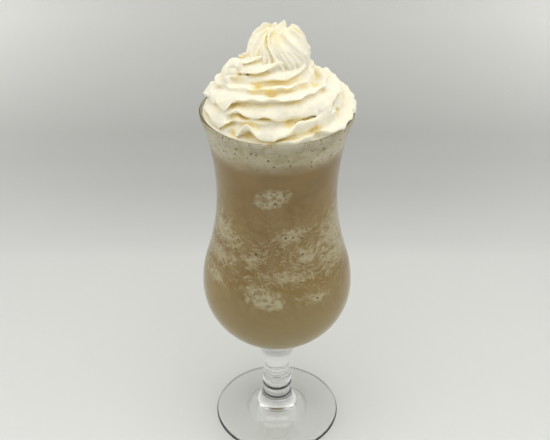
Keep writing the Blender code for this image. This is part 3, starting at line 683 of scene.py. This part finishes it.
def build_cream():
    """The whipped cream: its piped pieces grown into one skin, softened, and cut to fit the glass."""
    rope_rings = int(rope_length(ROPE_TURNS) / RING_SPACING)
    pieces = [
        piped("cream_rope", rope_rings, ROPE_RIDGES * POINTS_PER_RIDGE, rope_point),
        piped("cream_rosette", ROSETTE_RINGS, ROSETTE_RIDGES * POINTS_PER_RIDGE, rosette_point),
        piped("cream_curl", CURL_RINGS, CURL_POINTS, curl_point),
        build_curl_heart(),
    ]
    cream = build_core()
    for piece in (*pieces, cream):
        piece.select_set(True)
    bpy.context.view_layer.objects.active = cream
    bpy.ops.object.join()
    cream.data.remesh_voxel_size = CREAM_VOXEL * MM
    bpy.ops.object.voxel_remesh()
    cut = build_rim_clearance()
    cream.select_set(True)
    bpy.context.view_layer.objects.active = cream
    smooth = cream.modifiers.new("soften", "SMOOTH")
    smooth.factor = SOFTEN_SHARE
    smooth.iterations = SOFTEN_TIMES
    bpy.ops.object.modifier_apply(modifier="soften")
    for size, height in LUMPS:
        clouds = bpy.data.textures.new("lumps", "CLOUDS")
        clouds.noise_scale = size * MM
        lumps = cream.modifiers.new("lumps", "DISPLACE")
        lumps.texture = clouds
        lumps.strength = height * MM
        bpy.ops.object.modifier_apply(modifier="lumps")
    trim = cream.modifiers.new("trim", "BOOLEAN")
    trim.operation = "DIFFERENCE"
    trim.solver = "MANIFOLD"
    trim.object = cut
    bpy.ops.object.modifier_apply(modifier="trim")
    bpy.data.objects.remove(cut)
    cream.data.shade_smooth()
    press_pockets(cream)
    return cream


def press_pockets(cream):
    """Presses in the warm pockets and keeps each point's share of them as an attribute, for their painted
    warm shade.

    Each pocket is where the line from the camera through its place in the photo meets the cream.
    """
    eye = Vector((0, -CAMERA_DISTANCE, CAMERA_HEIGHT))
    turned = Matrix.Rotation(math.pi / 2 - CAMERA_PITCH, 3, "X")
    shares = [0.0] * len(cream.data.vertices)
    bpy.context.view_layer.update()
    for x, y, reach, warmth in WARM_POCKETS:
        look = Vector((x - FRAME_WIDTH_PX / 2 - AXIS_OFFSET_PX, FRAME_HEIGHT_PX / 2 - y, -FOCAL_PX))
        place = cream.ray_cast(eye, turned @ look)[1]
        for i, vertex in enumerate(cream.data.vertices):
            near = warmth * math.exp(-((vertex.co - place).length / (reach * MM)) ** 2)
            shares[i] = max(shares[i], near)
    inward = [vertex.normal * -POCKET_DEPTH * MM for vertex in cream.data.vertices]
    for vertex, share, push in zip(cream.data.vertices, shares, inward):
        vertex.co += push * share
    cream.data.attributes.new("pocket", "FLOAT", "POINT").data.foreach_set("value", shares)


def new_material(name):
    material = bpy.data.materials.new(name)
    material.use_nodes = True
    material.node_tree.nodes.clear()
    return material, material.node_tree


def place_in_mm(tree):
    """The place of a point on its piece."""
    place = add_node(tree, "TexCoord").outputs["Object"]
    return add_node(tree, "VectorMath", [place, 1 / MM], operation="SCALE")


def axis_distance(tree, place):
    """How far a place is from the glass's axis."""
    flat = add_node(tree, "VectorMath", [place, (1, 1, 0)], operation="MULTIPLY")
    return add_node(tree, "VectorMath", [flat], operation="LENGTH")


def glass_material():
    """Clear soda glass, pressed and fire polished: it bends what lies behind it and gleams at its edges."""
    material, tree = new_material("clear_soda_glass")
    place = place_in_mm(tree)
    split = add_node(tree, "SeparateXYZ", [place]).outputs
    # Painted shade: the glass is greyer low on the foot's outer edge, at the back.
    outer = add_node(tree, "MapRange", [axis_distance(tree, place), *FOOT_EDGE_OUT])
    low = add_node(tree, "MapRange", [split["Z"], *FOOT_EDGE_UP])
    behind = add_node(tree, "MapRange", [split["Y"], *FOOT_EDGE_BACK])
    edge = add_node(tree, "Math", [outer, low], operation="MULTIPLY")
    edge = add_node(tree, "Math", [edge, behind], operation="MULTIPLY")
    colour = add_node(tree, "Mix", [edge, GLASS_COLOUR, FOOT_EDGE_SHADE_COLOUR], data_type="RGBA")
    glass = add_node(tree, "BsdfPrincipled", {
        "Base Color": colour, "Roughness": 0.0, "IOR": GLASS_IOR, "Transmission Weight": 1.0})
    # Its shadow is a clear one that darkens where the wall is seen on edge.
    slope = add_node(tree, "LayerWeight").outputs["Facing"]
    slope = add_node(tree, "MapRange", [slope, *SHADOW_EDGE_RANGE])
    shade = add_node(tree, "Mix", [slope, GLASS_SHADOW, GLASS_EDGE_SHADOW], data_type="RGBA")
    through = add_node(tree, "BsdfTransparent", [shade])
    path = add_node(tree, "LightPath").outputs
    shadow, diffuse = path["Is Shadow Ray"], path["Is Diffuse Ray"]
    lighting = add_node(tree, "Math", [shadow, diffuse], operation="MAXIMUM")
    add_node(tree, "OutputMaterial", [add_node(tree, "MixShader", [lighting, glass, through])])
    return material


def cream_material():
    """Whipped cream: light goes a few millimetres into the fat and air; the yellow of its hollows is painted
    shade.
    """
    material, tree = new_material("whipped_cream")
    place = place_in_mm(tree)
    grain = add_node(tree, "TexNoise", [place, *CREAM_GRAIN])
    bump = add_node(tree, "Bump", {
        "Strength": GRAIN_STRENGTH, "Distance": GRAIN_HEIGHT * MM, "Height": grain})
    # Painted shade: the more enclosed a point is, the more of the warm hollow colour it gets.
    near = {"Distance": HOLLOW_REACH * MM}
    openness = add_node(tree, "AmbientOcclusion", near, samples=HOLLOW_SAMPLES, only_local=True)
    hollow_shade = add_node(tree, "MapRange", [openness.outputs["AO"], *HOLLOW_RANGE])
    colour = add_node(tree, "Mix", [hollow_shade, CREAM_COLOUR, HOLLOW_SHADE_COLOUR], data_type="RGBA")
    # Painted shade: the pockets get a deeper warm yellow.
    pocket = add_node(tree, "Attribute", attribute_name="pocket").outputs["Fac"]
    colour = add_node(tree, "Mix", [pocket, colour, POCKET_SHADE_COLOUR], data_type="RGBA")
    # Inside the glass, the cream's lower edge is smeared with froth.
    height = add_node(tree, "SeparateXYZ", [place]).outputs["Z"]
    low = add_node(tree, "MapRange", [height, *CREAM_IN_GLASS])
    inside = add_node(tree, "Math", [axis_distance(tree, place), INSIDE_RIM], operation="LESS_THAN")
    smeared = add_node(tree, "Math", [low, inside], operation="MULTIPLY")
    colour = add_node(tree, "Mix", [smeared, colour, drink_colour(tree)], data_type="RGBA")
    shader = add_node(tree, "BsdfPrincipled", {
        "Base Color": colour, "Roughness": CREAM_ROUGHNESS, "IOR": CREAM_IOR,
        "Specular IOR Level": CREAM_GLOSS, "Subsurface Weight": CREAM_SCATTER,
        "Subsurface Radius": CREAM_SCATTER_COLOUR, "Subsurface Scale": CREAM_SCATTER_DEPTH * MM,
        "Normal": bump})
    add_node(tree, "OutputMaterial", [shader])
    return material


def height_band(tree, height, start, end):
    """1 between two heights: it comes in over the start and fades over the end."""
    rise = add_node(tree, "MapRange", [height, *start])
    fall = add_node(tree, "MapRange", [height, *end])
    return add_node(tree, "Math", [rise, fall], operation="MULTIPLY")


def soft_ovals(tree, x, y, z, ovals, edge):
    """1 inside uneven soft ovals on the front of the glass."""
    face = add_node(tree, "CombineXYZ", [x, z])
    waves = add_node(tree, "TexNoise", [face, *OVAL_WAVES])
    waves = add_node(tree, "Math", [waves, OVAL_WOBBLE], operation="MULTIPLY")
    share = 0.0
    for oval_x, height, across, up, tilt in ovals:
        place, turned, reach = (oval_x, height, 0.0), (0.0, 0.0, math.radians(tilt)), (across, up, 1.0)
        laid = add_node(tree, "Mapping", [face, place, turned, reach], vector_type="TEXTURE")
        far = add_node(tree, "VectorMath", [laid], operation="LENGTH")
        far = add_node(tree, "Math", [far, waves], operation="ADD")
        inside = add_node(tree, "MapRange", [far, *edge])
        share = add_node(tree, "Math", [share, inside], operation="MAXIMUM")
    in_front = add_node(tree, "Math", [y, 0.0], operation="LESS_THAN")
    return add_node(tree, "Math", [share, in_front], operation="MULTIPLY")


def pin_bubbles(tree, skin, spacing, radius, amount):
    """Round bubbles pressed against the glass: 1 in a bubble, in this amount of the places."""
    cells = add_node(tree, "TexVoronoi", [skin, 1 / spacing], voronoi_dimensions="2D").outputs
    chance = add_node(tree, "SeparateColor", [cells["Color"]]).outputs
    largest = radius / spacing
    reach = add_node(tree, "MapRange", [chance["Red"], 0.0, 1.0, SMALLEST_BUBBLE * largest, largest])
    inside = add_node(tree, "Math", [cells["Distance"], reach], operation="LESS_THAN")
    present = add_node(tree, "Math", [chance["Green"], amount], operation="LESS_THAN")
    return add_node(tree, "Math", [inside, present], operation="MULTIPLY")


def slush_area(tree, swirled, x, y, z):
    """Where pale slush lies behind the glass: in clouds at the back, thinner and in patches at the front."""
    clouds = add_node(tree, "TexNoise", [swirled, *SLUSH_CLOUDS])
    clouds = add_node(tree, "MapRange", [clouds, *SLUSH_CLOUD_RANGE])
    back = height_band(tree, z, BACK_SLUSH_START, BACK_SLUSH_END)
    back = add_node(tree, "Math", [back, clouds], operation="MULTIPLY")
    behind = add_node(tree, "MapRange", [y, *BACK_HALF])
    back = add_node(tree, "Math", [back, behind], operation="MULTIPLY")
    front = height_band(tree, z, FRONT_SLUSH_START, FRONT_SLUSH_END)
    front = add_node(tree, "Math", [front, FRONT_SLUSH_SHARE], operation="MULTIPLY")
    patches = soft_ovals(tree, x, y, z, SLUSH_PATCHES, SLUSH_PATCH_EDGE)
    front = add_node(tree, "Math", [front, patches], operation="MAXIMUM")
    return add_node(tree, "Math", [front, back], operation="MAXIMUM")


def drink_colour(tree):
    """The drink as the glass shows it: froth at the top, brown below, with pale slush of fine ice and air."""
    place = place_in_mm(tree)
    x, y, z = add_node(tree, "SeparateXYZ", [place]).outputs
    swirls = add_node(tree, "TexNoise", [place, *SWIRLS]).outputs["Color"]
    swirls = add_node(tree, "VectorMath", [swirls, NOISE_MIDDLE], operation="SUBTRACT")
    swirls = add_node(tree, "VectorMath", [swirls, SWIRL_REACH], operation="SCALE")
    swirled = add_node(tree, "VectorMath", [place, swirls], operation="ADD")
    streaked = add_node(tree, "Mapping", {
        "Vector": swirled, "Rotation": (0.0, STREAK_TILT, 0.0), "Scale": (1.0, 1.0, STREAK_SQUEEZE)})
    feathers = add_node(tree, "TexNoise", [streaked, *FEATHERS])

    # The brown drink, with a paler bottom and small pale flecks.
    clouds = add_node(tree, "TexNoise", [place, *CLOUDS])
    clouds = add_node(tree, "MapRange", [clouds, *CLOUD_RANGE])
    colour = add_node(tree, "Mix", [clouds, BROWN_DARK, BROWN_PALE], data_type="RGBA")
    low = add_node(tree, "MapRange", [z, *LOW_DRINK])
    colour = add_node(tree, "Mix", [low, colour, BROWN_LOW], data_type="RGBA")
    flecks = add_node(tree, "TexNoise", [swirled, *FLECKS])
    flecks = add_node(tree, "MapRange", [flecks, *FLECK_RANGE])
    fleck_band = height_band(tree, z, FLECKS_START, FLECKS_END)
    flecks = add_node(tree, "Math", [flecks, fleck_band], operation="MULTIPLY")
    colour = add_node(tree, "Mix", [flecks, colour, FLECK_COLOUR], data_type="RGBA")

    # Feathers of slush, and two patches of foam.
    area = slush_area(tree, swirled, x, y, z)
    slush = add_node(tree, "Math", [area, SLUSH_SPREAD, feathers], operation="MULTIPLY_ADD")
    slush = add_node(tree, "MapRange", [slush, *SLUSH_RANGE])
    colour = add_node(tree, "Mix", [slush, colour, SLUSH_COLOUR], data_type="RGBA")
    foam = soft_ovals(tree, x, y, z, FOAM_PATCHES, FOAM_EDGE)
    specks = add_node(tree, "TexNoise", [swirled, *SPECKS])
    specks = add_node(tree, "MapRange", [specks, *SPECK_RANGE])
    foamy = add_node(tree, "Math", [foam, specks], operation="MULTIPLY")
    foamy = add_node(tree, "Math", [foamy, FOAM_SHARE], operation="MULTIPLY")
    colour = add_node(tree, "Mix", [foamy, colour, FOAM_COLOUR], data_type="RGBA")

    # The froth, mottled and smeared, with an uneven lower edge.
    mottle = add_node(tree, "TexNoise", [swirled, *MOTTLE])
    mottle = add_node(tree, "MapRange", [mottle, *MOTTLE_RANGE])
    froth = add_node(tree, "Mix", [mottle, FROTH_DARK, FROTH_PALE], data_type="RGBA")
    smears = add_node(tree, "MapRange", [feathers, *SMEAR_RANGE])
    smeared = soft_ovals(tree, x, y, z, FROTH_SMEARS, FOAM_EDGE)
    smears = add_node(tree, "Math", [smears, smeared], operation="MULTIPLY")
    froth = add_node(tree, "Mix", [smears, froth, SMEAR_COLOUR], data_type="RGBA")
    waves = add_node(tree, "TexNoise", [place, *BOUNDARY_WAVES])
    level = add_node(tree, "Math", [waves, BOUNDARY_RISE, z], operation="MULTIPLY_ADD")
    in_froth = add_node(tree, "MapRange", [level, *BOUNDARY])
    colour = add_node(tree, "Mix", [in_froth, colour, froth], data_type="RGBA")

    # Dark pin bubbles in the froth and in the palest slush, laid out on the drink's unrolled skin.
    toward = add_node(tree, "Math", [y, -1.0], operation="MULTIPLY")
    turned = add_node(tree, "Math", [x, toward], operation="ARCTAN2")
    turned = add_node(tree, "Math", [turned, WAIST_RADIUS], operation="MULTIPLY")
    skin = add_node(tree, "CombineXYZ", [turned, z])
    high = add_node(tree, "MapRange", [z, *FROTH_BUBBLES_START])
    upper = add_node(tree, "Math", [pin_bubbles(tree, skin, *FROTH_BUBBLES), high], operation="MULTIPLY")
    pale = add_node(tree, "Math", [area, foam], operation="MAXIMUM")
    pale = add_node(tree, "MapRange", [pale, *PALE_ENOUGH])
    middle = add_node(tree, "Math", [pin_bubbles(tree, skin, *SLUSH_BUBBLES), pale], operation="MULTIPLY")
    bubbles = add_node(tree, "Math", [upper, middle], operation="MAXIMUM")
    return add_node(tree, "Mix", [bubbles, colour, BUBBLE_COLOUR], data_type="RGBA")


def drink_material(name, roughness):
    """Blended milk, coffee and fine ice: dull and wet against the glass, with light going a little way in."""
    material, tree = new_material(name)
    shader = add_node(tree, "BsdfPrincipled", {
        "Base Color": drink_colour(tree), "Roughness": roughness, "IOR": DRINK_IOR,
        "Specular IOR Level": DRINK_GLOSS, "Subsurface Weight": DRINK_SCATTER,
        "Subsurface Radius": DRINK_SCATTER_COLOUR, "Subsurface Scale": DRINK_SCATTER_DEPTH * MM})
    add_node(tree, "OutputMaterial", [shader])
    return material


def paper_material():
    """Background paper, matt, with light and shade painted into its tone. Seen from behind it is clear, so
    that it never hides the glass.
    """
    material, tree = new_material("paper_painted_light")
    x, y, z = add_node(tree, "SeparateXYZ", [place_in_mm(tree)]).outputs
    # Painted light and shade: the wall greyer than the table, paler upward and outward.
    aside = add_node(tree, "Math", [x, HALF_VIEW], operation="DIVIDE")
    aside = add_node(tree, "Math", [aside, aside], operation="MULTIPLY")
    upward = add_node(tree, "MapRange", [z, *WALL_PALER_UP])
    outward = add_node(tree, "Math", [upward, WALL_PALER_OUT], operation="ADD")
    wall = add_node(tree, "Math", [upward, WALL_TONE], operation="ADD")
    wall = add_node(tree, "Math", [aside, outward, wall], operation="MULTIPLY_ADD")
    table = add_node(tree, "Math", [aside, TABLE_DARKER_OUT, TABLE_TONE], operation="MULTIPLY_ADD")
    on_wall = add_node(tree, "MapRange", [y, *TABLE_TO_WALL])
    tone = add_node(tree, "Mix", [on_wall, table, wall])
    tone = add_node(tree, "Math", [tone, PALEST_TONE], operation="MINIMUM")
    colour = add_node(tree, "VectorMath", [PAPER_TINT, tone], operation="SCALE")
    shader = add_node(tree, "BsdfPrincipled", {"Base Color": colour, "Roughness": PAPER_ROUGHNESS})
    behind = add_node(tree, "NewGeometry").outputs["Backfacing"]
    one_way = add_node(tree, "MixShader", [behind, shader, add_node(tree, "BsdfTransparent")])
    add_node(tree, "OutputMaterial", [one_way])
    return material


def dress(obj, material, node):
    """Gives a piece its one material, in place of any empty slot, and its body, and hides the CAD node that
    it stands in for.
    """
    obj.data.materials.clear()
    obj.data.materials.append(material)
    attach(obj, BODY)
    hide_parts(node)


def build_camera():
    data = bpy.data.cameras.new("camera")
    data.sensor_width = SENSOR_MM
    data.lens = FOCAL_PX / FRAME_WIDTH_PX * SENSOR_MM
    data.shift_x = -AXIS_OFFSET_PX / FRAME_WIDTH_PX
    data.clip_start = CAMERA_NEAR
    camera = bpy.data.objects.new("camera", data)
    camera.location = (0, -CAMERA_DISTANCE, CAMERA_HEIGHT)
    camera.rotation_euler = (math.pi / 2 - CAMERA_PITCH, 0, 0)
    bpy.context.scene.collection.objects.link(camera)
    bpy.context.scene.camera = camera


def build_sweep():
    """A paper sweep that lies under the object and rises behind it."""
    bpy.ops.object.select_all(action="DESELECT")
    bpy.ops.mesh.primitive_plane_add(size=1, location=(0, 0, 0))
    sweep = bpy.context.object
    sweep.name = sweep.data.name = "paper_sweep"
    edit(sweep, "EDGE")
    bpy.ops.mesh.select_all(action="SELECT")
    bpy.ops.transform.resize(value=(SWEEP_WIDTH, SWEEP_FRONT + SWEEP_BACK, 1))
    bpy.ops.transform.translate(value=(0, (SWEEP_BACK - SWEEP_FRONT) / 2, -FLOOR_GAP))
    bpy.ops.mesh.select_all(action="DESELECT")
    mesh = bmesh.from_edit_mesh(sweep.data)
    for side in mesh.edges:
        side.select_set(all(vert.co.y > SWEEP_BACK - MM for vert in side.verts))
    bmesh.update_edit_mesh(sweep.data)
    bpy.ops.mesh.spin(
        steps=SWEEP_STEPS, angle=-math.pi / 2, center=(0, SWEEP_BACK, SWEEP_RADIUS), axis=(1, 0, 0)
    )
    bpy.ops.mesh.extrude_edges_move(TRANSFORM_OT_translate={"value": (0, 0, SWEEP_RISE)})
    bpy.ops.mesh.select_all(action="SELECT")
    bpy.ops.mesh.normals_make_consistent(inside=True)
    done()
    sweep.data.shade_smooth()
    sweep.data.materials.append(paper_material())


def build_lights():
    """A light tent that is bright all round but for its opening, and three soft lamps above."""
    world = bpy.data.worlds.new("studio")
    world.use_nodes = True
    tree = world.node_tree
    tree.nodes.clear()
    around = add_node(tree, "TexCoord").outputs["Generated"]
    toward = add_node(tree, "VectorMath", [around, OPENING_MIDDLE], operation="DOT_PRODUCT")
    open_share = add_node(tree, "MapRange", [toward, *OPENING_EDGE], interpolation_type="SMOOTHSTEP")
    tent = add_node(tree, "Mix", [open_share, TENT_COLOUR, OPENING_COLOUR], data_type="RGBA")
    add_node(tree, "OutputWorld", [add_node(tree, "Background", [tent, TENT_STRENGTH])])
    bpy.context.scene.world = world
    for name, place, target, width, watts in LAMPS:
        data = bpy.data.lights.new(name, "AREA")
        data.shape = "DISK"
        data.size = width
        data.energy = watts
        lamp = bpy.data.objects.new(name, data)
        lamp.location = place
        lamp.rotation_euler = (Vector(target) - Vector(place)).to_track_quat("-Z", "Y").to_euler()
        bpy.context.scene.collection.objects.link(lamp)
    bpy.context.scene.view_settings.view_transform = "Standard"


build_camera()
build_sweep()
build_lights()
dress(build_glass(), glass_material(), "glass")
dress(build_latte(), drink_material("blended_iced_latte", LATTE_ROUGHNESS), "latte")
dress(build_froth(), drink_material("milk_froth", FROTH_ROUGHNESS), "froth")
dress(build_cream(), cream_material(), "whipped_cream")
